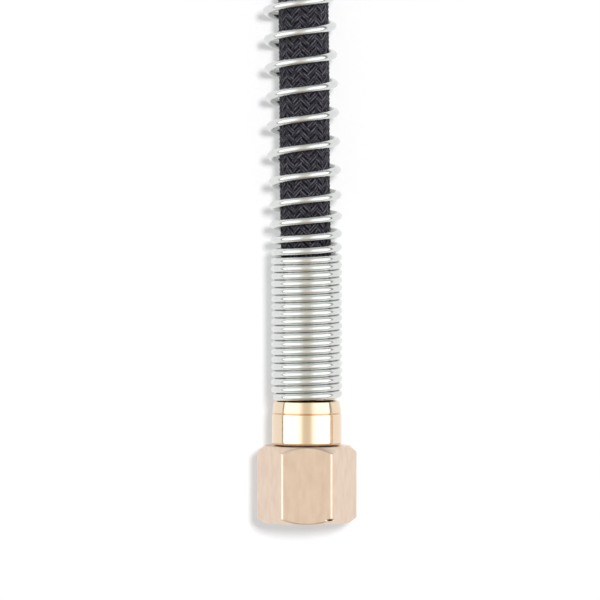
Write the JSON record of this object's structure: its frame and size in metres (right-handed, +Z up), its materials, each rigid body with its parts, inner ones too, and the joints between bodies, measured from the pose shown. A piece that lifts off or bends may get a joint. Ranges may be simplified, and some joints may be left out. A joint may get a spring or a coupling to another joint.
{
  "type": "steam iron hose",
  "caption": "Braided steam hose for an iron, coiled for storage, with a spring guard, a crimped ferrule and a swivelling union nut on each end.",
  "frame": {"origin": "on the ground under the middle of the near end, from its nut's open face to the end of its spring guard", "axes": "+Y runs from the near nut's open face along the hose to the coil, +X to the right seen from above, towards the far end, +Z up"},
  "size_m": [0.1573, 0.2782, 0.0213],
  "materials": {
    "nut_brass": "satin, pale rose-beige",
    "ferrule_brass": "polished",
    "guard_wire": "bright zinc plated spring wire",
    "hose_braid": "charcoal textile braid",
    "gasket_fibre": "matt sealing fibre",
    "strap": "black woven strap"
  },
  "bodies": {
    "hose": {"near_gasket": "gasket_fibre", "near_stem": "ferrule_brass", "near_ferrule": "ferrule_brass", "near_hose_end": "hose_braid", "near_guard": "guard_wire", "hose_run": "hose_braid", "hose_coil": "hose_braid", "coil_strap": "strap", "far_run": "hose_braid", "far_guard": "guard_wire", "far_hose_end": "hose_braid", "far_ferrule": "ferrule_brass", "far_stem": "ferrule_brass", "far_gasket": "gasket_fibre"},
    "near_union_nut": {"near_nut": "nut_brass"},
    "far_union_nut": {"far_nut": "nut_brass"}
  },
  "joints": [
    {"name": "near_nut_spin", "type": "hinge", "parent": "hose", "child": "near_union_nut", "pos_m": [0, -0.0492, 0.0085], "axis": [0, 1, 0], "continuous": true},
    {"name": "far_nut_spin", "type": "hinge", "parent": "hose", "child": "far_union_nut", "pos_m": [0.1377, -0.0492, 0.0085], "axis": [0, 1, 0], "continuous": true}
  ]
}
